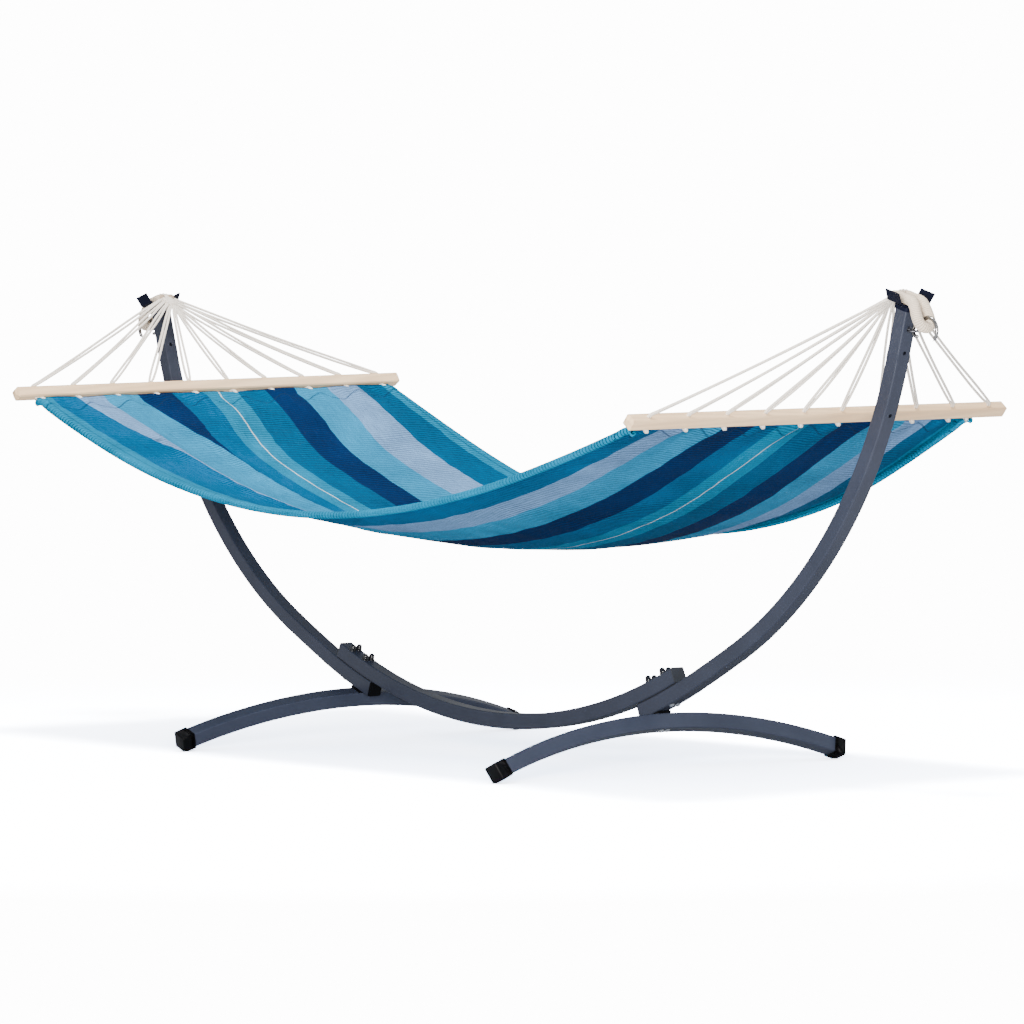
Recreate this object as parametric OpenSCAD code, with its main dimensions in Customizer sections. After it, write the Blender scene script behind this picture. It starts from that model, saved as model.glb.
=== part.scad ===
// Spreader-bar hammock on a bolted stand of curved square tube. Millimetres, +Z up.
// X runs along the hammock, Y across it, and the origin is on the floor under its middle.

/* [Tube] */
// Outside width of the square steel tube
tube_w = 40; // [32:1:50]
// Wall thickness of the tube
tube_wall = 1.5; // [1.2:0.1:2.5]
// Outside corner radius of the tube
tube_corner = 4; // [3:0.5:6]

/* [Centre arc] */
// Bend radius of the centre arc, to the middle of the tube
arc_radius = 1680; // [1400:10:2050]
// Angle that the centre arc climbs on each side, in degrees
arc_half_angle = 24.4; // [21:0.1:28]

/* [Arms] */
// Length of arm that lies under the end of the centre arc
lap_length = 160; // [134:1:200]
// Thickness of the rubber pad in the lap joint
pad_t = 2; // [1:0.5:4]
// Length of arm that follows the curve of the centre arc, past the lap
arm_foot_extra = 40; // [20:1:60]
// Bend radius of the nearly straight shank above it
shank_radius = 5400; // [4500:50:6500]
// Length of that shank
shank_length = 195; // [160:1:240]
// Bend radius of the main bend of the arm
bend_radius = 1190; // [1000:5:1430]
// Length of the main bend
bend_length = 960; // [800:5:1150]
// Length of the straight top of the arm
top_length = 125; // [110:1:160]
// Distance of the upper accessory hole below the top of the arm
hole_1_drop = 112; // [96:1:130]
// Distance of the lower accessory hole below the top of the arm
hole_2_drop = 266; // [220:1:320]
// Diameter of the accessory holes
accessory_hole_d = 10; // [6:0.5:12]

/* [Feet] */
// Bend radius of the arched feet, to the middle of the tube
foot_radius = 1585; // [1350:5:1900]
// Angle that a foot falls on each side, in degrees
foot_half_angle = 20.5; // [17:0.1:24]
// Distance of the foot from the lower end of the arm
foot_station = 54; // [45:1:64]
// Thickness of the plastic saddle between foot and arm
saddle_t = 5.5; // [4:0.5:8]
// Wall of the end caps on the feet
cap_wall = 3; // [2:0.5:4]
// Length of tube that an end cap covers
cap_length = 33; // [28:1:40]
// Depth of the flat sole, taken off the lowest corner of a cap
sole_cut = 5; // [3:0.5:6]

/* [Fasteners] */
// Diameter of the carriage bolts
bolt_d = 8; // [6:1:10]
// Clearance of a bolt hole, across its diameter
bolt_clearance = 0.6; // [0.3:0.1:1]
// Spacing of the two bolts of a pair, across the tube
bolt_pair = 20; // [16:1:22]
// Distance between the two pairs of a lap joint
bolt_row_step = 62; // [50:1:74]
// Diameter of the domed bolt heads
head_d = 16; // [13:0.5:18]
// Height of the domed bolt heads
head_h = 5; // [4:0.5:6]
// Diameter of the domed cap nuts
nut_d = 16; // [13:0.5:18]
// Height of the domed cap nuts
nut_h = 15; // [12:0.5:18]

/* [Cradle] */
// Thickness of the cradle's steel plate
cradle_plate = 3.5; // [3:0.5:5]
// Length of the cradle, along the hammock
cradle_length = 48; // [40:1:58]
// Half the width of the cradle's flat bottom
cradle_floor = 20; // [17:1:24]
// Rise of the lower slope of each wing
cradle_slope_rise = 9; // [6:1:14]
// Rise of the upper lip of each wing
cradle_lip_rise = 25; // [18:1:30]
// Depth of the sleeve that slips over the arm
sleeve_depth = 10; // [8:1:14]
// Length of the tongue down the inside face of the arm
tongue_length = 34; // [26:1:42]

/* [Hooks] */
// Distance of the eye bolt below the top of the arm
eye_drop = 53; // [46:1:64]
// Inside radius of the eye
eye_radius = 9; // [8:0.5:12]
// Diameter of the eye bolt's wire
eye_wire = 6; // [5:0.5:7]
// Radius of the steel hook, to the middle of its rod
hook_radius = 30; // [29:0.5:36]
// Diameter of the hook's rod
hook_rod = 9; // [8:0.5:11]
// Diameter of the whipped rope loop
loop_d = 27; // [24:0.5:29]

/* [Spreader bars] */
// Length of a spreader bar
bar_length = 1245; // [1130:5:1480]
// Width of the bar's face that the holes go through
bar_face = 30; // [26:1:40]
// Depth of the bar along the holes
bar_depth = 30; // [26:1:40]
// Size of the chamfer round each bar end
bar_chamfer = 8; // [5:1:10]
// Number of cord holes in a bar
cord_count = 10; // [8:1:12]
// Distance between cord holes
cord_pitch = 124; // [90:1:130]
// Diameter of the cord holes
cord_hole_d = 11; // [9:0.5:13]
// Distance of the right-hand bar inside the top of its arm
bar_inset_right = 314; // [260:1:380]
// Distance of the left-hand bar inside the top of its arm
bar_inset_left = 238; // [200:1:300]
// Drop of the right-hand bar below the swing axis
bar_drop_right = 290; // [240:1:350]
// Drop of the left-hand bar below the swing axis
bar_drop_left = 244; // [200:1:295]
// Lean of the right-hand bar's holes from upright, in degrees
bar_lean_right = 40; // [30:1:55]
// Lean of the left-hand bar's holes from upright, in degrees
bar_lean_left = 30; // [5:1:36]
// Fall of the right-hand bar towards the near side, in degrees
bar_fall_right = 0.4; // [0:0.1:2]
// Fall of the left-hand bar towards the near side, in degrees
bar_fall_left = 1; // [0:0.1:2]
// Splay of the bars, open towards the near side, in degrees
bar_splay = 2.5; // [0:0.5:4]

/* [Cloth] */
// Half the width of the cloth
cloth_half_width = 575; // [540:5:720]
// Thickness of the cloth
cloth_t = 2; // [1:0.5:6]
// Gap between a bar and the hem of the cloth
hem_gap = 5; // [4:0.5:9]
// Drop of the cloth between its long edges, at its middle
cloth_belly = 75; // [40:1:100]

/* [Cords] */
// Diameter of the clew cords
cord_d = 5; // [4:0.5:6]
// Length of the woven collar where the clew cords gather
collar_length = 18; // [14:1:24]

/* [Hidden] */
$fn = 48;
bend_fn = 720;
corner_fn = 32;
weld_half_length = 10;
weld_gap = 0.02;

LEFT = -1;
RIGHT = 1;
SIDES = [LEFT, RIGHT];

// Arm centre line: a curve parallel to the arc, a shank, the main bend and a straight top.
lap_radius = arc_radius + tube_w + pad_t;
arm_start_angle = arc_half_angle - deg(lap_length / lap_radius);
lap_curve_angle = deg((lap_length + arm_foot_extra) / lap_radius);
shank_start_angle = arm_start_angle + lap_curve_angle;
bend_start_angle = shank_start_angle + deg(shank_length / shank_radius);
top_angle = bend_start_angle + deg(bend_length / bend_radius);

function deg(radians) = radians * 180 / PI;
function along(angle) = [cos(angle), sin(angle)];
function inward(angle) = [-sin(angle), cos(angle)];

// Centres of the bends, in the X-Z plane, with the lowest point of the arc at height 0.
arc_centre = [0, arc_radius];
shank_start = arc_centre - lap_radius * inward(shank_start_angle);
shank_centre = shank_start + shank_radius * inward(shank_start_angle);
bend_start = shank_centre - shank_radius * inward(bend_start_angle);
bend_centre = bend_start + bend_radius * inward(bend_start_angle);
top_start = bend_centre - bend_radius * inward(top_angle);
arm_top = top_start + top_length * along(top_angle);

// Where a foot crosses under the arm, and how it leans with the arm.
foot_angle = arm_start_angle + deg(foot_station / lap_radius);
foot_apex = arc_centre - (lap_radius + tube_w + saddle_t) * inward(foot_angle);
foot_drop = foot_radius * (1 - cos(foot_half_angle));
cap_w = tube_w + 2 * cap_wall;
cap_reach = foot_drop + cap_wall * sin(foot_half_angle) + cap_w / 2 * cos(foot_half_angle);
lowest_corner = foot_apex[1] - cap_reach * cos(foot_angle) - cap_w / 2 * sin(foot_angle);
arc_height = -(lowest_corner + sole_cut);

// The rope loops lie over the cradles, and the hammock swings about the line through them.
saddle_point = arm_top + cradle_plate * along(top_angle);
rope_rise = saddle_point[1] + loop_d / 2 + 1;
rope_start = [-33, 9.5];
swing_rise = rope_rise + rope_start[1];
collar_end_x = arm_top[0] + rope_start[0] - 7;
collar_d = 46;

// Whipped rope loop, from the top of the arm: distance out, height, distance to each side.
loop_leg = [
    [rope_start[0], rope_start[1], 15], [-14, 4.5, 15], [6, -1.3, 15], [26, -6.6, 15],
    [36, -12.5, 15.2], [44, -24, 16.6], [51, -39, 18.7], [57, -53, 18.8],
    [61, -62, 15.6], [64, -68, 8.8]
];
loop_turn = [65, -70, 0];

// Rows of bolts, as distances from the lower end of the arm.
bolt_rows = [foot_station, foot_station + bolt_row_step];
bolt_hole_d = bolt_d + bolt_clearance;

// Hook: a curl through the eye, a straight shank and the open arc that holds the rope.
curl_radius = 12;
hook_reach = 52;
hook_tip = -58;
curl_tip = 300;
eye_point = arm_top - eye_drop * along(top_angle) - tube_w / 2 * inward(top_angle);
eye_centre = eye_point - (eye_radius + eye_wire) * inward(top_angle);
curl_centre = eye_centre + [curl_radius, 0];
hook_centre = eye_centre + [hook_reach, 2];
hook_span = hook_centre - curl_centre;
hook_join = atan2(hook_span[1], hook_span[0])
    + acos((curl_radius - hook_radius) / norm(hook_span));

// ---------- Shared shapes ----------

// Lifts a shape from the arc's own heights onto the floor's.
module on_stand() {
    translate([0, 0, arc_height]) children();
}

// Draws the right-hand piece, or its mirror image for the left.
module on_side(side) {
    if (side == LEFT) mirror([1, 0, 0]) children();
    else children();
}

module rounded_square(width, corner) {
    square([width, width - 2 * corner], center = true);
    square([width - 2 * corner, width], center = true);
    for (x = [-1, 1], y = [-1, 1])
        translate([x, y] * (width / 2 - corner)) circle(r = corner, $fn = corner_fn);
}

module tube_section() {
    difference() {
        rounded_square(tube_w, tube_corner);
        rounded_square(tube_w - 2 * tube_wall, tube_corner - tube_wall);
    }
}

// A bent tube in the X-Z plane, from one tangent angle to the other.
module bent_tube(centre, radius, angle_from, angle_to) {
    translate([centre[0], 0, centre[1]])
        rotate([90, 0, 0])
        rotate([0, 0, angle_from - 90])
        rotate_extrude(angle = angle_to - angle_from, $fn = bend_fn)
        translate([radius, 0]) tube_section();
}

// A short liner inside the wall that welds two stretches of an arm where they meet.
module weld_liner(centre, radius, angle) {
    half = deg(weld_half_length / radius);
    translate([centre[0], 0, centre[1]])
        rotate([90, 0, 0])
        rotate([0, 0, angle - half - 90])
        rotate_extrude(angle = 2 * half, $fn = bend_fn)
        translate([radius, 0])
        difference() {
            square(tube_w - tube_wall, center = true);
            square(tube_w - 4 * tube_wall, center = true);
        }
}

// Puts a shape at a point of the X-Z plane, with its Z along the tube's inward normal.
module at_normal(point, angle) {
    translate([point[0], 0, point[1]]) rotate([0, -angle, 0]) children();
}

// A point of the lap joint: station along the arm, depth above the arm's own middle.
function lap_angle(station) = arm_start_angle + deg(station / lap_radius);
function lap_point(station, depth) =
    arc_centre - (lap_radius - depth) * inward(lap_angle(station));

module at_lap(station, depth) {
    at_normal(lap_point(station, depth), lap_angle(station)) children();
}

module bolt_holes(stations, from, to) {
    for (station = stations, y = [-1, 1])
        at_lap(station, from)
            translate([0, y * bolt_pair / 2, 0]) cylinder(d = bolt_hole_d, h = to - from);
}

// A round rod between two points.
module rod(start, end, d) {
    v = end - start;
    translate(start)
        rotate([0, acos(v[2] / norm(v)), atan2(v[1], v[0])])
        cylinder(d = d, h = norm(v));
}

// ---------- Stand ----------

module centre_arc() {
    color("#3f4655")
        on_stand()
        difference() {
            bent_tube(arc_centre, arc_radius, -arc_half_angle, arc_half_angle);
            for (side = SIDES)
                on_side(side) bolt_holes(bolt_rows, tube_w / 2, tube_w * 2);
        }
}

module arm(side) {
    color("#434a59")
        on_stand()
        on_side(side)
        difference() {
            union() {
                arm_stretch(arc_centre, lap_radius, arm_start_angle, shank_start_angle);
                arm_stretch(shank_centre, shank_radius, shank_start_angle, bend_start_angle);
                arm_stretch(bend_centre, bend_radius, bend_start_angle, top_angle);
                translate([top_start[0], 0, top_start[1]])
                    rotate([0, 90 - top_angle, 0])
                    linear_extrude(top_length) tube_section();
            }
            bolt_holes(bolt_rows, -tube_w, tube_w);
            accessory_hole(hole_1_point, hole_1_angle);
            accessory_hole(hole_2_point, hole_2_angle);
            eye_bolt_hole();
        }
}

// One bend of an arm, with the liner that joins it to the next stretch.
module arm_stretch(centre, radius, angle_from, angle_to) {
    bent_tube(centre, radius, angle_from, angle_to - deg(weld_gap / radius));
    weld_liner(centre, radius, angle_to);
}

// The upper hole is in the straight top, the lower one in the main bend.
hole_1_angle = top_angle;
hole_1_point = arm_top - hole_1_drop * along(top_angle);
hole_2_angle = top_angle - deg((hole_2_drop - top_length) / bend_radius);
hole_2_point = bend_centre - bend_radius * inward(hole_2_angle);

module accessory_hole(point, angle) {
    at_normal(point, angle)
        cylinder(d = accessory_hole_d, h = 2 * tube_w, center = true);
}

module eye_bolt_hole() {
    at_normal(eye_point, top_angle)
        translate([0, 0, -tube_w / 2]) cylinder(d = eye_wire, h = tube_w / 2 + 2 * tube_wall);
}

// Stands a shape at the top of a foot's arch: X across the foot, Y along it, Z up its lean.
module at_foot(side) {
    on_stand()
        on_side(side)
        at_normal(foot_apex, foot_angle) children();
}

module foot(side) {
    color("#4a5264")
        at_foot(side)
        difference() {
            foot_arch() tube_section();
            for (y = [-1, 1])
                translate([0, y * bolt_pair / 2, -tube_w])
                    cylinder(d = bolt_hole_d, h = 2 * tube_w);
        }
}

// A section swept along the whole arch of a foot.
module foot_arch() {
    translate([0, 0, -foot_radius])
        rotate([0, 90, 0])
        rotate([0, 0, 180 - foot_half_angle])
        rotate_extrude(angle = 2 * foot_half_angle, $fn = bend_fn)
        translate([foot_radius, 0]) children();
}

module foot_caps(side) {
    color("#14161b")
        intersection() {
            at_foot(side)
                for (end = [-1, 1]) foot_cap(end);
            translate([0, 0, arc_height])
                cube([4 * arm_top[0], 2 * foot_radius, 2 * arc_height], center = true);
        }
}

// A moulded cap: a block round the tube's end, hollowed by the tube itself.
module foot_cap(end) {
    difference() {
        translate([0, 0, -foot_radius])
            rotate([-end * foot_half_angle, 0, 0])
            translate([0, end * (cap_wall - cap_length) / 2, foot_radius])
            cube([cap_w, cap_wall + cap_length, cap_w], center = true);
        foot_arch() rounded_square(tube_w, tube_corner);
    }
}

// Rubber strips between the centre arc and the arms.
module lap_pads() {
    color("#1b1c20")
        on_stand()
        for (side = SIDES)
            on_side(side)
            difference() {
                translate([arc_centre[0], 0, arc_centre[1]])
                    rotate([90, 0, 0])
                    rotate([0, 0, arm_start_angle - 90])
                    rotate_extrude(angle = arc_half_angle - arm_start_angle, $fn = bend_fn)
                    translate([arc_radius + tube_w / 2 + pad_t / 2, 0])
                    square([pad_t, tube_w - 2 * tube_corner], center = true);
                bolt_holes(bolt_rows, 0, tube_w);
            }
}

// Black plastic saddles between the feet and the arms.
module foot_saddles() {
    color("#121317")
        for (side = SIDES)
            at_foot(side)
            difference() {
                translate([-tube_w / 2, -tube_w / 2, tube_w / 2])
                    cube([tube_w, tube_w, saddle_t]);
                for (y = [-1, 1])
                    translate([0, y * bolt_pair / 2, 0])
                        cylinder(d = bolt_hole_d, h = 2 * tube_w);
            }
}

// A plug pushed into a tube's end: a core inside the tube and a flange over its edge.
plug_core = 14;
plug_flange = 3;
plug_clearance = 0.3;

module end_plug() {
    core_w = tube_w - 2 * tube_wall - 2 * plug_clearance;
    rotate([0, 90, 0]) {
        linear_extrude(plug_flange) rounded_square(tube_w, tube_corner);
        translate([0, 0, -plug_core])
            linear_extrude(plug_core) rounded_square(core_w, tube_corner - tube_wall);
    }
}

module arc_end_plugs() {
    color("#262c38")
        on_stand()
        for (side = SIDES)
            on_side(side)
            at_normal(arc_centre - arc_radius * inward(arc_half_angle), arc_half_angle)
            end_plug();
}

module arm_end_plugs() {
    color("#0c0d10")
        on_stand()
        for (side = SIDES)
            on_side(side)
            at_normal(arc_centre - lap_radius * inward(arm_start_angle), arm_start_angle)
            mirror([1, 0, 0]) end_plug();
}

// ---------- Fasteners ----------

// A carriage bolt pointing up: a domed head below, a shank to the given length.
module carriage_bolt(length) {
    cylinder(d = bolt_d, h = length);
    intersection() {
        translate([0, 0, -head_h]) cylinder(d = head_d, h = head_h);
        translate([0, 0, dome_radius(head_d, head_h) - head_h])
            sphere(r = dome_radius(head_d, head_h));
    }
}

// Radius of the sphere whose cap has this diameter and height.
function dome_radius(d, h) = (d * d / 4 + h * h) / (2 * h);

// A cap nut: a washer flange, a collar and a domed end, bored for the bolt's tip.
module cap_nut() {
    flange_h = 2;
    collar_top = nut_h - nut_d * 0.4;
    difference() {
        union() {
            cylinder(d = nut_d, h = flange_h);
            cylinder(d = nut_d * 0.8, h = collar_top);
            translate([0, 0, collar_top]) sphere(d = nut_d * 0.8);
        }
        translate([0, 0, -1]) cylinder(d = bolt_hole_d, h = 1 + nut_h * 0.6);
    }
}

bolt_tip = nut_h * 0.5;
// Heads and nuts stand off the curved faces by this much.
seat_gap = 0.1;
under_foot = -tube_w * 1.5 - saddle_t - seat_gap;
under_arm = -tube_w / 2;
over_arc = tube_w * 1.5 + pad_t + seat_gap;

module bolts(station, from) {
    color("#d7dade")
        on_stand()
        for (side = SIDES, y = [-1, 1])
            on_side(side)
            at_lap(station, from)
            translate([0, y * bolt_pair / 2, 0]) carriage_bolt(over_arc + bolt_tip - from);
}

module long_bolts() {
    bolts(bolt_rows[0], under_foot);
}

module short_bolts() {
    bolts(bolt_rows[1], under_arm);
}

module cap_nuts() {
    color("#17181c")
        on_stand()
        for (side = SIDES, station = bolt_rows, y = [-1, 1])
            on_side(side)
            at_lap(station, over_arc)
            translate([0, y * bolt_pair / 2, 0]) cap_nut();
}

// ---------- Cradles and hooks ----------

// Outline of one wing, from the middle of the plate's underside to its lip and back.
slope_out = 26;
lip_out = 12;
slope_foot = [cradle_floor, 0];
lip_foot = slope_foot + [slope_out, cradle_slope_rise];
lip_tip = lip_foot + [lip_out, cradle_lip_rise];
floor_normal = [0, 1];
slope_normal = left_of(lip_foot - slope_foot);
lip_normal = left_of(lip_tip - lip_foot);

function left_of(v) = [-v[1], v[0]] / norm(v);
function mitre(p, n, m) = p + cradle_plate * (n + m) / (1 + n * m);

module wing_outline() {
    polygon([
        [0, 0], slope_foot, lip_foot, lip_tip,
        lip_tip + cradle_plate * lip_normal,
        mitre(lip_foot, slope_normal, lip_normal),
        mitre(slope_foot, floor_normal, slope_normal),
        [0, cradle_plate]
    ]);
}

// A winged plate on a sleeve over the arm's end, with a tongue down the inside face.
module cradle(side) {
    sleeve_w = tube_w + 2 * cradle_plate;
    fit = 0.2;
    color("#1a1d26")
        on_stand()
        on_side(side)
        translate([arm_top[0], 0, arm_top[1]])
        rotate([0, 90 - top_angle, 0]) {
            translate([-cradle_length / 2, 0, 0])
                rotate([90, 0, 90])
                linear_extrude(cradle_length) {
                    wing_outline();
                    mirror([1, 0]) wing_outline();
                }
            difference() {
                translate([0, 0, -sleeve_depth])
                    linear_extrude(sleeve_depth) rounded_square(sleeve_w, tube_corner + cradle_plate);
                translate([0, 0, -sleeve_depth - 1])
                    linear_extrude(sleeve_depth + 1)
                    rounded_square(tube_w + 2 * fit, tube_corner);
            }
            translate([-tube_w / 2 - cradle_plate, -tube_w / 5, -tongue_length])
                cube([cradle_plate - fit, tube_w * 0.4, tongue_length]);
        }
}

module eye_bolt(side) {
    flange_t = 2;
    color("#30333b")
        on_stand()
        on_side(side) {
            at_normal(eye_point, top_angle) {
                translate([0, 0, -flange_t]) cylinder(d = 2.4 * eye_wire, h = flange_t);
                translate([0, 0, -eye_wire])
                    cylinder(d = eye_wire - bolt_clearance, h = 2 * eye_wire + tube_wall);
            }
            translate([eye_centre[0], 0, eye_centre[1]])
                rotate_extrude() translate([eye_radius, 0]) circle(d = eye_wire);
        }
}

// An open steel hook: from inside the eye, over the rope loop and down to a free tip.
function arc_points(centre, r, from, to, count) = [for (i = [0 : count])
    let (a = from + (to - from) * i / count)
    [centre[0] + r * cos(a), 0, centre[1] + r * sin(a)]];

module hook(side) {
    color("#6d6a66")
        on_stand()
        on_side(side)
        sweep(concat(
            arc_points(curl_centre, curl_radius, curl_tip, hook_join, 12),
            arc_points(hook_centre, hook_radius, hook_join, hook_tip, 20)
        ), hook_rod, 12, [0, 1, 0]);
}

// ---------- Rope loops ----------

// The route of a rope loop, out along one side of the hook and back along the other.
function leg_point(p, side) = [arm_top[0] + p[0], side * p[2], rope_rise + p[1]];
last_leg = len(loop_leg) - 1;
loop_points = concat(
    [for (p = loop_leg) leg_point(p, 1)],
    [leg_point(loop_turn, 1)],
    [for (i = [last_leg : -1 : 0]) leg_point(loop_leg[i], -1)]
);

// A rod with flat ends swept along a list of points; up is never along the route.
module sweep(points, d, sides, up) {
    last = len(points) - 1;
    rings = [for (i = [0 : last])
        let (
            ahead = points[min(i + 1, last)] - points[max(i - 1, 0)],
            u = cross(ahead, up) / norm(cross(ahead, up)),
            v = cross(ahead, u) / norm(ahead)
        )
        for (k = [0 : sides - 1])
            points[i] + d / 2 * (cos(360 * k / sides) * u + sin(360 * k / sides) * v)
    ];
    walls = [for (i = [0 : last - 1], k = [0 : sides - 1])
        let (a = i * sides + k, b = i * sides + (k + 1) % sides)
        [a, a + sides, b + sides, b]
    ];
    start_cap = [[for (k = [0 : sides - 1]) k]];
    end_cap = [[for (k = [sides - 1 : -1 : 0]) last * sides + k]];
    polyhedron(points = rings, faces = concat(start_cap, walls, end_cap), convexity = 6);
}

module rope_loop(side) {
    color("#e6dccd")
        on_stand()
        on_side(side)
        sweep(loop_points, loop_d, 12, [0.1, 0, 1]);
}

// ---------- Hammock ----------

bar_x = [bar_inset_left - arm_top[0], arm_top[0] - bar_inset_right];
bar_rise = [swing_rise - bar_drop_left, swing_rise - bar_drop_right];
bar_lean = [-bar_lean_left, bar_lean_right];
bar_fall = [bar_fall_left, bar_fall_right];
function end_of(side) = side == LEFT ? 0 : 1;

function turn_x(v, a) = [v[0], v[1] * cos(a) - v[2] * sin(a), v[1] * sin(a) + v[2] * cos(a)];
function turn_y(v, a) = [v[0] * cos(a) + v[2] * sin(a), v[1], v[2] * cos(a) - v[0] * sin(a)];
function turn_z(v, a) = [v[0] * cos(a) - v[1] * sin(a), v[0] * sin(a) + v[1] * cos(a), v[2]];

// A point of a bar's own frame, whose Z is along the cord holes.
function bar_point(side, v) =
    [bar_x[end_of(side)], 0, bar_rise[end_of(side)]]
    + turn_z(turn_x(turn_y(v, bar_lean[end_of(side)]), bar_fall[end_of(side)]), side * bar_splay);

module in_bar(side) {
    on_stand()
        translate([bar_x[end_of(side)], 0, bar_rise[end_of(side)]])
        rotate([bar_fall[end_of(side)], 0, side * bar_splay])
        rotate([0, bar_lean[end_of(side)], 0]) children();
}

function cord_y(i) = (i - (cord_count - 1) / 2) * cord_pitch;

module spreader_bar(side) {
    color("#e6d2b4")
        in_bar(side)
        difference() {
            bar_block();
            for (i = [0 : cord_count - 1])
                translate([0, cord_y(i), 0])
                    cylinder(d = cord_hole_d, h = 2 * bar_depth, center = true);
        }
}

// A rectangular bar with its end faces chamfered all round.
module bar_block() {
    edge = 3;
    intersection() {
        rotate([90, 0, 0])
            linear_extrude(bar_length, center = true)
            bevelled(bar_face, bar_depth, edge);
        rotate([0, 90, 0])
            linear_extrude(2 * bar_face, center = true)
            bevelled(bar_depth, bar_length, bar_chamfer);
        linear_extrude(2 * bar_depth, center = true)
            bevelled(bar_face, bar_length, bar_chamfer);
    }
}

// A rectangle with cut corners.
module bevelled(x, y, cut) {
    polygon([
        [x / 2 - cut, -y / 2], [x / 2, -y / 2 + cut], [x / 2, y / 2 - cut], [x / 2 - cut, y / 2],
        [cut - x / 2, y / 2], [-x / 2, y / 2 - cut], [-x / 2, cut - y / 2], [cut - x / 2, -y / 2]
    ]);
}

// Clew cords: a woven collar on the swing axis and one cord from it through each bar hole.
cord_above = 6;
knot_d = cord_d + 1.5;
hem_rope_d = 5;
cord_below = hem_gap - hem_rope_d / 2;
fan_step = 3.6;
fan_stagger = 3.2;

module clew_cords(side) {
    color("#efe9df")
        on_stand() {
            on_side(side)
                translate([collar_end_x - collar_length, 0, swing_rise])
                rotate([0, 90, 0]) cylinder(d = collar_d, h = collar_length);
            for (i = [0 : cord_count - 1]) {
                knot = bar_point(side, [0, cord_y(i), bar_depth / 2 + cord_above]);
                tail = bar_point(side, [0, cord_y(i), -bar_depth / 2 - cord_below]);
                rod(knot, fan_point(side, i), cord_d);
                rod(tail, knot, cord_d);
                translate(knot) sphere(d = knot_d);
            }
        }
}

function fan_point(side, i) = [
    side * (collar_end_x - collar_length + 4),
    (i - (cord_count - 1) / 2) * fan_step,
    swing_rise + (i % 2 == 0 ? fan_stagger : -fan_stagger)
];

// Point of the cloth: u from -1 at the left bar to 1 at the right, v across it from -1 to 1.
near_sag = [203, 42, -29];
far_sag = [250, 80, 37];
belly_skew = 0.6;
function sag(coefficients, u, b) = coefficients * [b, b * b, u * b];
function hem(side) =
    bar_point(side, [0, 0, -bar_depth / 2 - hem_gap]) - [side * (hem_rope_d / 2 + 1), 0, 0];
function cloth_point(u, v) =
    let (
        b = 1 - u * u,
        y = v * cloth_half_width,
        x = (hem(LEFT)[0] * (1 - u) + hem(RIGHT)[0] * (1 + u)) / 2 - u * y * tan(bar_splay),
        rise = (tan(bar_fall[0]) * (1 - u) + tan(bar_fall[1]) * (1 + u)) / 2,
        line = (hem(LEFT)[2] * (1 - u) + hem(RIGHT)[2] * (1 + u)) / 2 + y * rise,
        edges = sag(near_sag, u, b) * (1 - v) / 2 + sag(far_sag, u, b) * (1 + v) / 2,
        belly = cloth_belly * (1 + belly_skew * u) * pow(b, 1.5) * (1 - v * v)
    )
    [x, y, line - edges - belly];

cloth_rows = 32;
cloth_columns = 12;

module cloth_bed() {
    row = cloth_columns + 1;
    count = (cloth_rows + 1) * row;
    faces_of = function (a, up) up
        ? [[a, a + 1, a + row + 1], [a, a + row + 1, a + row]]
        : [[a, a + row + 1, a + 1], [a, a + row, a + row + 1]];
    top = [for (i = [0 : cloth_rows], j = [0 : cloth_columns])
        cloth_point(2 * i / cloth_rows - 1, 2 * j / cloth_columns - 1) + [0, 0, cloth_t / 2]];
    bottom = [for (p = top) p - [0, 0, cloth_t]];
    sheet = [for (i = [0 : cloth_rows - 1], j = [0 : cloth_columns - 1])
        each concat(faces_of(i * row + j, true), faces_of(count + i * row + j, false))];
    long_edges = [for (i = [0 : cloth_rows - 1], j = [0, cloth_columns])
        let (a = i * row + j, b = a + row, near = j == 0)
        each near
            ? [[a, b, b + count], [a, b + count, a + count]]
            : [[a, b + count, b], [a, a + count, b + count]]];
    ends = [for (j = [0 : cloth_columns - 1], i = [0, cloth_rows])
        let (a = i * row + j, b = a + 1, left = i == 0)
        each left
            ? [[a, b + count, b], [a, a + count, b + count]]
            : [[a, b, b + count], [a, b + count, a + count]]];
    color("#1f74a8")
        on_stand()
        polyhedron(points = concat(top, bottom), faces = concat(sheet, long_edges, ends), convexity = 6);
}

// The rope that every clew cord is looped round, along the hem of the cloth.
module hem_rope(side) {
    color("#f2ede4")
        in_bar(side)
        translate([0, 0, -bar_depth / 2 - hem_gap])
        rotate([90, 0, 0])
        cylinder(d = hem_rope_d, h = 2 * cloth_half_width, center = true);
}

centre_arc();
arm(LEFT);  // arm_left
arm(RIGHT);  // arm_right
foot(LEFT);  // foot_left
foot(RIGHT);  // foot_right
lap_pads();
foot_saddles();
arc_end_plugs();
arm_end_plugs();
foot_caps(LEFT);  // foot_caps_left
foot_caps(RIGHT);  // foot_caps_right
long_bolts();
short_bolts();
cap_nuts();
cradle(LEFT);  // cradle_left
cradle(RIGHT);  // cradle_right
eye_bolt(LEFT);  // eye_bolt_left
eye_bolt(RIGHT);  // eye_bolt_right
hook(LEFT);  // hook_left
hook(RIGHT);  // hook_right
rope_loop(LEFT);  // rope_loop_left
rope_loop(RIGHT);  // rope_loop_right
clew_cords(LEFT);  // clew_cords_left
clew_cords(RIGHT);  // clew_cords_right
spreader_bar(LEFT);  // spreader_bar_left
spreader_bar(RIGHT);  // spreader_bar_right
hem_rope(LEFT);  // hem_rope_left
hem_rope(RIGHT);  // hem_rope_right
cloth_bed();
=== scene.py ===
import math
import random

import bmesh
import bpy
from mathutils import Matrix, Vector, noise


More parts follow.
